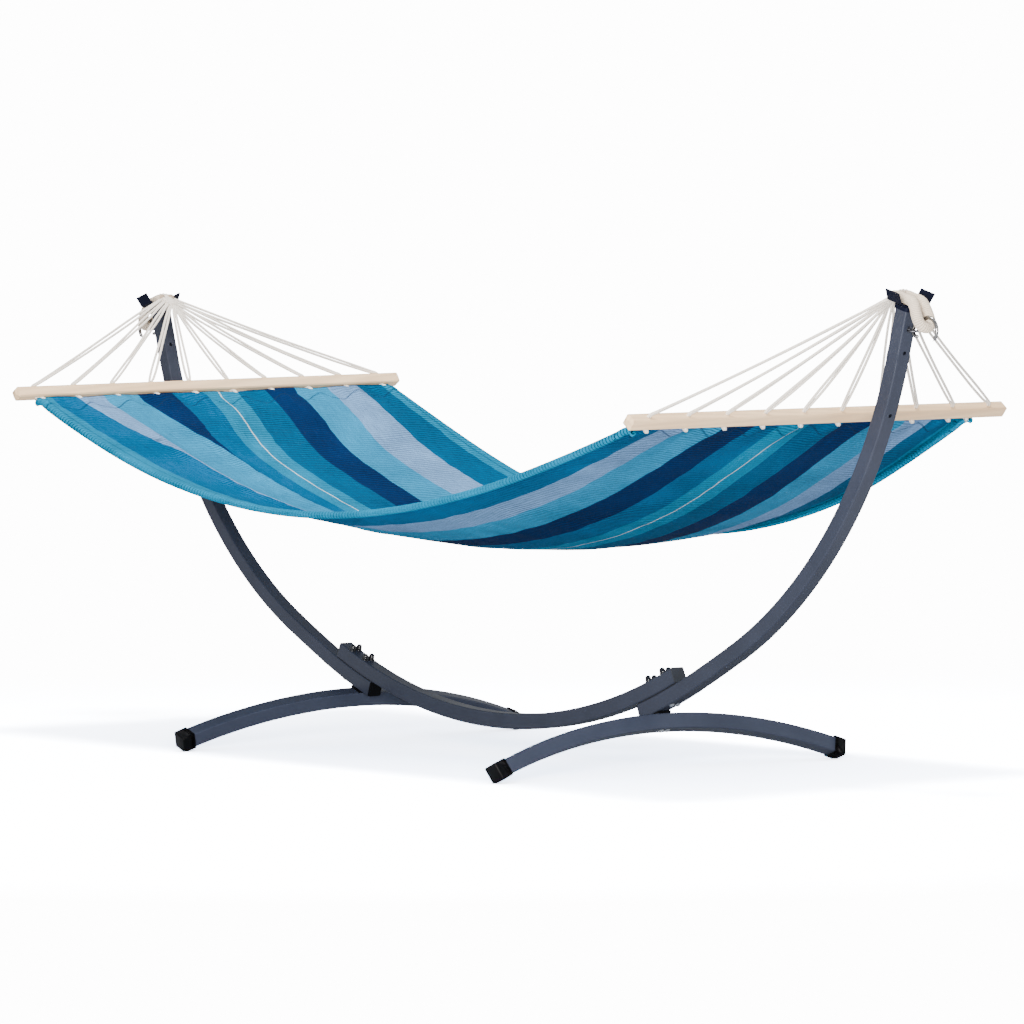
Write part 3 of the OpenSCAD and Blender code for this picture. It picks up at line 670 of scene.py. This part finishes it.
def nut_cover(bm, place):
    """A domed cover over a nut: a flange, a six-sided skirt and a dome."""
    profile = COVER_FOOT + [
        (DOME_RADIUS * math.cos(math.radians(a)), DOME_BASE + DOME_RISE * math.sin(math.radians(a)))
        for a in range(0, 86, 12)]
    profile += [(0.0, DOME_BASE + DOME_RISE)]
    lathe(bm, profile, place, 24)
    skirt = bmesh.ops.create_cone(
        bm, cap_ends=True, segments=6, radius1=SKIRT_FOOT, radius2=SKIRT_TOP, depth=SKIRT_DEPTH,
        matrix=place @ Matrix.Translation((0, 0, SKIRT_MIDDLE)))
    edges = {e for v in skirt["verts"] for e in v.link_edges}
    bmesh.ops.bevel(bm, geom=list(edges), offset=0.0004, segments=1,
                    affect="EDGES", profile=0.5, material=-1)


def nut_covers():
    """One cover for each bolt of the two lap joints."""
    bm = bmesh.new()
    base = 1.5 * TUBE + PAD + SEAT_GAP
    for side in SIDES:
        for station in BOLT_ROWS:
            for y in (-BOLT_PAIR / 2, BOLT_PAIR / 2):
                nut_cover(bm, at_lap(side, station, base, y) @ Matrix.Scale(COVER_SCALE, 4))
    obj = piece("nut_covers", bm, "stand", nut_plastic)
    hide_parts("cap_nuts")


nut_covers()


def at_foot(side):
    """The top of a foot's arch: X across the foot, Y along it, Z up its lean."""
    place = Matrix.Translation(foot_apex + UP) @ Matrix.Rotation(-foot_angle, 4, "Y")
    return place if side == RIGHT else Matrix.Diagonal((-1, 1, 1, 1)) @ place


CAP_ROUND, CAP_LIP, CAP_HOLLOW = 0.0042, 0.0026, 0.012


def foot_cap(bm, side, end):
    """A moulded cap with rounded corners and a lip at its mouth."""
    before = set(bm.verts)
    length = CAP_WALL + CAP_LENGTH
    bmesh.ops.create_cube(bm, size=1.0, matrix=Matrix.Diagonal((cap_w, length, cap_w, 1)))
    verts = [v for v in bm.verts if v not in before]
    faces = {f for v in verts for f in v.link_faces}
    mouth = [f for f in faces if f.normal.y * end < -0.9]
    tip = [f for f in faces if f.normal.y * end > 0.9]
    edges = {e for f in tip for e in f.edges}
    edges |= {e for f in faces for e in f.edges
              if abs((e.verts[0].co - e.verts[1].co).normalized().y) > 0.9}
    bmesh.ops.bevel(bm, geom=list(edges), offset=CAP_ROUND, segments=4,
                    affect="EDGES", profile=0.5, material=-1)
    ring = bmesh.ops.inset_region(bm, faces=[f for f in mouth if f.is_valid],
                                  thickness=CAP_LIP, depth=0.0)["faces"]
    fresh = [f for v in bm.verts if v not in before for f in v.link_faces
             if f.normal.y * end < -0.9 and f not in ring]
    hollow = bmesh.ops.extrude_discrete_faces(bm, faces=list(set(fresh)))["faces"]
    for face in hollow:
        for v in face.verts:
            v.co.y += end * CAP_HOLLOW
    made = [v for v in bm.verts if v not in before]
    place = (at_foot(side) @ Matrix.Translation((0, 0, -FOOT_RADIUS))
             @ Matrix.Rotation(-end * FOOT_HALF, 4, "X")
             @ Matrix.Translation((0, end * (CAP_WALL - CAP_LENGTH) / 2, FOOT_RADIUS)))
    bmesh.ops.transform(bm, matrix=place, verts=made)


def foot_caps(side):
    """The two caps of a foot, cut flat where they stand on the floor."""
    bm = bmesh.new()
    for end in (-1, 1):
        foot_cap(bm, side, end)
    geom = bm.verts[:] + bm.edges[:] + bm.faces[:]
    cut = bmesh.ops.bisect_plane(bm, geom=geom, plane_co=(0, 0, 0), plane_no=(0, 0, 1),
                                 clear_inner=True)
    rim = [e for e in cut["geom_cut"] if isinstance(e, bmesh.types.BMEdge)]
    bmesh.ops.edgenet_fill(bm, edges=rim)
    name = "foot_caps_" + SIDE_NAME[side]
    obj = piece("moulded_" + name, bm, "stand", cap_plastic)
    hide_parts(name)


for side in SIDES:
    foot_caps(side)

# ---------------------------------------------------------------- hooks and rope loops

EYE_DROP, EYE_RADIUS, EYE_WIRE = 0.053, 0.009, 0.006
HOOK_RADIUS, CURL_RADIUS, HOOK_ROD = 0.030, 0.012, 0.009
CURL_START, HOOK_END = math.radians(300), math.radians(-58)
HOOK_TIP = 0.006
HOOK_REACH, HOOK_LIFT = 0.052, 0.002
eye_point = arm_top - EYE_DROP * along(top_angle) - TUBE / 2 * inward(top_angle)
eye_centre = eye_point - (EYE_RADIUS + EYE_WIRE) * inward(top_angle)
curl_centre = eye_centre + Vector((CURL_RADIUS, 0, 0))
hook_centre = eye_centre + Vector((HOOK_REACH, 0, HOOK_LIFT))


def arc_route(centre, radius, start, end, count):
    return [centre + radius * along(start + (end - start) * i / count) for i in range(count + 1)]


def hook(side):
    """A polished hook: a curl in the eye, a shank, and an arc with a rounded free tip."""
    span = hook_centre - curl_centre
    join = math.atan2(span.z, span.x) + math.acos((CURL_RADIUS - HOOK_RADIUS) / span.length)
    route = arc_route(curl_centre, CURL_RADIUS, CURL_START, join, 20)
    route += arc_route(hook_centre, HOOK_RADIUS, join, HOOK_END, 40)
    length = path_length(route)

    def taper(run, _turn):
        rest = min(run, length - run)
        return 1.0 if rest > HOOK_TIP else math.sqrt(max(0.04, 1 - (1 - rest / HOOK_TIP) ** 2))

    fine = rounded([mirrored(p + UP, side) for p in route], 0.0012)
    bm = bmesh.new()
    tube(bm, fine, HOOK_ROD / 2, 18, taper, up=(0, 1, 0))
    name = "hook_" + SIDE_NAME[side]
    obj = piece("polished_" + name, bm, "stand", hook_steel)
    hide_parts(name)


# One leg of a rope loop in millimetres: out past the arm's top, above the rope's seat, to one side.
LOOP_LEG = (
    (-33, 9.5, 15), (-14, 4.5, 15), (6, -1.3, 15), (26, -6.6, 15), (36, -12.5, 15.2),
    (44, -24, 16.6), (51, -39, 18.7), (57, -53, 18.8), (61, -62, 15.6), (64, -68, 8.8)
)
LOOP_TURN = (65, -70, 0)


def rope_loop(side):
    """A rope eye closely wrapped in twine, with gathers where it turns at the hook."""
    def leg(p, y):
        return mirrored((arm_top.x + p[0] / 1000, y * p[2] / 1000, rope_rise + p[1] / 1000),
                        side) + UP
    points = [leg(p, 1) for p in LOOP_LEG] + [leg(LOOP_TURN, 0)]
    points += [leg(p, -1) for p in reversed(LOOP_LEG)]
    route = rounded(points, 0.00085)
    length = path_length(route)

    def wraps(run, turn):
        turn_off = abs(run - length / 2)
        gather = math.exp(-(turn_off / 0.030) ** 2)
        wound = run / TWINE_PITCH + 1.6 * math.sin(turn) + turn / (2 * math.pi)
        twine = abs(math.sin(math.pi * wound))
        pleat = math.sin(14 * turn + 2.0 * math.sin(run * 90))
        lump = noise.noise(Vector((run * 40, math.cos(turn) * 1.5, math.sin(turn) * 1.5)))
        end = min(run, length - run)
        waist = 1 - 0.30 * math.exp(-(end / 0.010) ** 2)
        return waist * (0.955 + 0.035 * twine * (1 - 0.7 * gather) + 0.045 * pleat * gather
                        + 0.045 * lump)

    bm = bmesh.new()
    tube(bm, route, LOOP_D / 2, 64, wraps)
    name = "rope_loop_" + SIDE_NAME[side]
    obj = piece("whipped_" + name, bm, "stand", whip_cotton)
    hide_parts(name)


for side in SIDES:
    hook(side)
    rope_loop(side)

# ---------------------------------------------------------------- clew cords

LEG_OFFSET = 0.0028
PATCH_START = arm_top.x - 0.020
PATCH = 0.052
PATCH_SLOPE = 0.55
APEX_SPACING = 0.0022
HEM_LINE = -BAR_DEPTH / 2 - HEM_GAP


def apex(side, i, leg):
    """Where a leg leaves the woven patch: outer cords leave higher up and farther out."""
    number = 2 * i + (leg > 0)
    rank = number - (2 * CORD_COUNT - 1) / 2
    depth = PATCH * (1 - abs(rank) / CORD_COUNT) * 0.9 + 0.006
    weave = 0.0020 * (1 if number % 2 else -1)
    return mirrored((PATCH_START - depth, rank * APEX_SPACING,
                     swing_rise - PATCH_SLOPE * depth + weave), side) + UP


def tie(side, y):
    """A doubled turn round the hem rope that leans over the edge of the cloth."""
    y = min(max(y, HEM_NEAR[side] + 0.012), HEM_FAR[side] - 0.024)
    points = []
    for k in range(19):
        turn = 2 * math.pi * 2.0 * k / 18
        low = (1 - math.cos(turn)) / 2
        points.append(Vector((0.0088 * math.sin(turn) * (1 - 0.25 * low),
                              y + 0.012 * low + 0.0062 * k / 18,
                              HEM_LINE + 0.0045 - 0.0165 * low)))
    return points


def clew(side):
    """Ten doubled cords: each runs from the patch through its hole, round the hem and back."""
    bm = bmesh.new()
    top = BAR_DEPTH / 2
    middle_hole = BAR[side] @ Vector((0, 0, top))
    gather = mirrored((PATCH_START, 0, swing_rise), side) + UP
    fan = (middle_hole - gather).cross(Vector((0, 1, 0))).normalized()
    for i in range(CORD_COUNT):
        y = cord_y(i)
        hole = [BAR[side] @ Vector((0, y - LEG_OFFSET, h)) for h in (top + 0.005, 0, -top + 0.002)]
        back = [BAR[side] @ Vector((0, y + LEG_OFFSET, h)) for h in (-top + 0.002, 0, top + 0.005)]
        turn = hole + [BAR[side] @ p for p in tie(side, y)] + back
        first, last = apex(side, i, -1), apex(side, i, 1)
        apart = (turn[0] - first).normalized().cross(fan)
        apart *= 1 if apart.y > 0 else -1
        inner = [mirrored((PATCH_START + 0.001, 0.4 * p.y, swing_rise), side) + UP
                 for p in (first, last)]
        slack = (0.0035 + 0.004 * random.random(), 0.0035 + 0.004 * random.random())
        down, up = [], []
        for t in (0.06, 0.2, 0.4, 0.6, 0.8, 0.95):
            bow = 4 * t * (1 - t)
            spread = apart * (0.0030 + 0.0014 * math.sin(5 * t + i)) * min(1, 6 * t, 12 * (1 - t))
            down.append(first.lerp(turn[0], t) - spread - Vector((0, 0, slack[0] * bow)))
            up.append(last.lerp(turn[-1], t) + spread - Vector((0, 0, slack[1] * bow)))
        route = rounded([inner[0], first] + down + turn + up[::-1] + [last, inner[1]], 0.0062)
        tube(bm, route, CORD_D / 2, 8)
    name = "clew_cords_" + SIDE_NAME[side]
    obj = piece("doubled_" + name, bm, "hammock", cord_cotton, merged=False)
    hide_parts(name)


def woven_patch(side):
    """The interlaced patch where the cords gather over the cradle."""
    bm = bmesh.new()

    def on_patch(t, y):
        crown = 0.0065 * (1 - (y / 0.024) ** 2)
        return mirrored((PATCH_START + 0.006 - PATCH * t, y,
                         swing_rise + 0.002 - PATCH_SLOPE * PATCH * t + crown), side) + UP

    rows, columns = 9, 9
    for r in range(rows):
        t = (r + 0.5) / rows
        half = 0.0225 * (1 - 0.60 * t)
        for lead in (-1, 1):
            route = []
            for k in range(columns * 2 + 1):
                y = half * (k / columns - 1)
                over = 0.0026 * math.cos(math.pi * (k / 2 + r)) * lead
                route.append(on_patch(t + 0.02 * lead * math.sin(math.pi * k / 2), y)
                             + Vector((0, 0, over)))
            tube(bm, rounded(route, 0.0014), 0.0020, 8, up=(1, 0, 0.1))
    for k in range(columns):
        route = []
        for r in range(rows * 2 + 1):
            t = r / (rows * 2)
            y = (k - (columns - 1) / 2) * 0.0050 * (1 - 0.58 * t)
            over = 0.0026 * math.cos(math.pi * (r / 2 + k))
            route.append(on_patch(t, y) + Vector((0, 0, over)))
        tube(bm, rounded(route, 0.0014), 0.0024, 8)
    obj = piece("woven_patch_" + SIDE_NAME[side], bm, "hammock", cord_cotton, merged=False)


for side in SIDES:
    clew(side)
    woven_patch(side)

# ---------------------------------------------------------------- cloth

# Sag of an edge of the cloth: a parabola, its quartic part, and its lean to one end.
NEAR_SAG = (0.203, 0.042, -0.029)
FAR_SAG = (0.250, 0.080, 0.037)
BELLY, BELLY_SKEW = 0.075, 0.6
EDGE_ROLL = 0.0085
HEM_WRAP = 0.0036
ALONG_ROWS, ACROSS_ROWS = 290, 128
EDGE_TUCK = 0.030
ROPE_REST = HEM_ROPE_R + 0.001
NARROW_STRIPE = 0.030


def hem_point(side):
    place = BAR[side] @ Vector((0, 0, HEM_LINE))
    return place - Vector((side * ROPE_REST, 0, 0))


HEM = {side: hem_point(side) for side in SIDES}


def cloth_surface(u, y):
    """The hanging cloth without its folds: u from the left bar to the right, y across."""
    v = y / HALF_WIDTH
    b = 1 - u * u
    side = LEFT if u < 0 else RIGHT
    w = smooth_step(1 - (1 - abs(u)) * HALF_LENGTH / 0.65)
    y += w * ((HEM_NEAR[side] + HALF_WIDTH) * (1 - v) / 2
              + (HEM_FAR[side] - HALF_WIDTH) * (1 + v) / 2)
    x = (HEM[LEFT].x * (1 - u) + HEM[RIGHT].x * (1 + u)) / 2 - u * y * math.tan(BAR_SPLAY)
    rise = (math.tan(BAR_FALL[LEFT]) * (1 - u) + math.tan(BAR_FALL[RIGHT]) * (1 + u)) / 2
    line = (HEM[LEFT].z * (1 - u) + HEM[RIGHT].z * (1 + u)) / 2 + y * rise
    near = NEAR_SAG[0] * b + NEAR_SAG[1] * b * b + NEAR_SAG[2] * u * b
    far = FAR_SAG[0] * b + FAR_SAG[1] * b * b + FAR_SAG[2] * u * b
    belly = BELLY * (1 + BELLY_SKEW * u) * max(b, 0.0) ** 1.5 * (1 - v * v)
    return Vector((x, y, line - near * (1 - v) / 2 - far * (1 + v) / 2 - belly))


# Where two lengthwise folds lie at the near left, and how they gather the stripes there.
# Each pair is a place on the cut cloth and the place it shows on the hanging cloth.
GATHERED = ((-0.600, -0.600), (-0.538, -0.520), (-0.452, -0.379), (-0.366, -0.374),
            (-0.254, -0.2300), (-0.148, -0.2290), (-0.051, -0.148), (0.0555, -0.048),
            (0.1475, 0.052), (0.3595, 0.276), (0.600, 0.600))
FOLD_LINES = (-0.376, -0.229)


def gather_amount(from_left):
    return smooth_step((from_left + 0.02) / 0.50) * (1 - smooth_step((from_left - 0.95) / 0.55))


def gathered(u):
    """Pairs of a place on the cut cloth and where it shows, at one station."""
    w = gather_amount((1 + u) * HALF_LENGTH)
    return [(cut, cut + w * (place - cut)) for cut, place in GATHERED]


def pattern(u, y):
    """The place on the cut cloth that shows at y on the hanging cloth."""
    shown = gathered(u)
    for (cut_a, a), (cut_b, b) in zip(shown, shown[1:]):
        if y <= b or cut_b == GATHERED[-1][0]:
            return cut_a + (cut_b - cut_a) * (y - a) / (b - a)


def folds(u, y):
    """Height of the folds above the smooth cloth."""
    from_left, from_right = (1 + u) * HALF_LENGTH, (1 - u) * HALF_LENGTH
    end = min(from_left, from_right)
    side = LEFT if u < 0 else RIGHT
    phase = 2 * math.pi * y / CORD_PITCH + math.pi
    rise = smooth_step(end / 0.03)
    pucker = 0.0065 * math.cos(phase) * math.exp(-end / 0.10)
    fine = 0.0026 * math.cos(3 * phase + side * 9 * end) * math.exp(-end / 0.07)
    waves = 0.0058 * noise.noise(Vector((u * 2.2, y * 7.5, 3.1))) * (0.35 + math.exp(-end / 0.5))
    ripple = 0.0018 * noise.noise(Vector((u * 26, y * 5.0 + u * 4, 8.7)))
    crease = 0.0
    for line, height in zip(FOLD_LINES, (0.012, 0.009)):
        off = (y - line) / 0.020
        crease += height * gather_amount(from_left) * math.exp(-off * off)
    limit = smooth_step((HALF_WIDTH - 0.006 - abs(y)) / 0.05)
    return rise * (pucker + fine) + limit * (waves + ripple + crease)


def surface_frame(u, y):
    """A point of the folded cloth, its two directions and its normal."""
    step = 1e-3
    here = cloth_surface(u, y)
    run = cloth_surface(min(u + step, 1.0), y) - cloth_surface(max(u - step, -1.0), y)
    out = cloth_surface(u, y + step) - cloth_surface(u, y - step)
    run.normalize()
    out.normalize()
    normal = run.cross(out).normalized()
    return here + normal * folds(u, y), run, out, normal


def cloth_vertex(run_m, across):
    """A point of the cloth from metres along its middle and metres across it."""
    wrap = abs(run_m) - HALF_LENGTH
    u = max(-1.0, min(1.0, run_m / HALF_LENGTH))
    flat = HALF_WIDTH - EDGE_ROLL
    y = max(-flat, min(flat, across))
    point, run, out, normal = surface_frame(u, y)
    over = abs(across) - flat
    if over > 0:
        hand = 1 if across > 0 else -1
        turn = over / EDGE_ROLL
        point = point + EDGE_ROLL * (math.sin(turn) * hand * out - (1 - math.cos(turn)) * normal)
    if wrap > 0:
        hand = 1 if run_m > 0 else -1
        point = point + hand * run * min(wrap, ROPE_REST)
        if wrap > ROPE_REST:
            turn = (wrap - ROPE_REST) / HEM_WRAP
            point = point + HEM_WRAP * (math.sin(turn) * hand * run - (1 - math.cos(turn)) * normal)
    lift = HEM_WRAP * smooth_step(1 - (HALF_LENGTH - abs(run_m)) / 0.05)
    return point + normal * lift


def striped_cloth():
    """The woven bed as one sheet, hemmed at its ends and rolled under at its edges."""
    bm = bmesh.new()
    half_run = HALF_LENGTH + ROPE_REST + 3.4 * HEM_WRAP
    half_across = HALF_WIDTH + EDGE_TUCK
    uv = bm.loops.layers.uv.new("weave")
    columns = []
    for i in range(ALONG_ROWS + 1):
        a = 2 * i / ALONG_ROWS - 1
        # Closer rows at the ends and the edges, where the cloth is hemmed.
        run_m = half_run * math.copysign(1 - (1 - abs(a)) * (0.55 + 0.45 * (1 - abs(a))), a)
        u = max(-1.0, min(1.0, run_m / HALF_LENGTH))
        places = []
        for j in range(ACROSS_ROWS + 1):
            b = 2 * j / ACROSS_ROWS - 1
            places.append(half_across
                          * math.copysign(1 - (1 - abs(b)) * (0.45 + 0.55 * (1 - abs(b))), b))
        shown = gathered(u)
        for (_, near), (_, far) in zip(shown, shown[1:]):
            if far - near < NARROW_STRIPE:
                j = max(k for k, y in enumerate(places) if y <= (near + far) / 2)
                places[j], places[j + 1] = near, far
        columns.append([(bm.verts.new(cloth_vertex(run_m, y)), run_m, pattern(u, y))
                        for y in places])
    for left, right in zip(columns, columns[1:]):
        for j in range(ACROSS_ROWS):
            corners = (left[j], right[j], right[j + 1], left[j + 1])
            face = bm.faces.new([c[0] for c in corners])
            for loop, (_, run_m, y) in zip(face.loops, corners):
                loop[uv].uv = (run_m, y)
    obj = piece("striped_cloth", bm, "hammock", striped_cotton(), merged=False)
    thick = obj.modifiers.new("cloth", "SOLIDIFY")
    thick.thickness, thick.offset = 0.0014, 0
    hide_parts("cloth_bed")
    return obj


cloth = striped_cloth()


def hem_rope(side):
    """The rope inside the hem that the doubled cords are looped round."""
    bm = bmesh.new()
    start, end = [BAR[side] @ Vector((0, y, HEM_LINE)) for y in (HEM_NEAR[side], HEM_FAR[side])]
    route = [start.lerp(end, k / 240) for k in range(241)]
    tube(bm, route, HEM_ROPE_R, 10, up=(1, 0, 0))
    name = "hem_rope_" + SIDE_NAME[side]
    obj = piece("laid_" + name, bm, "hammock", cord_cotton, merged=False)
    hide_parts(name)
    return obj


hem_ropes = [hem_rope(side) for side in SIDES]
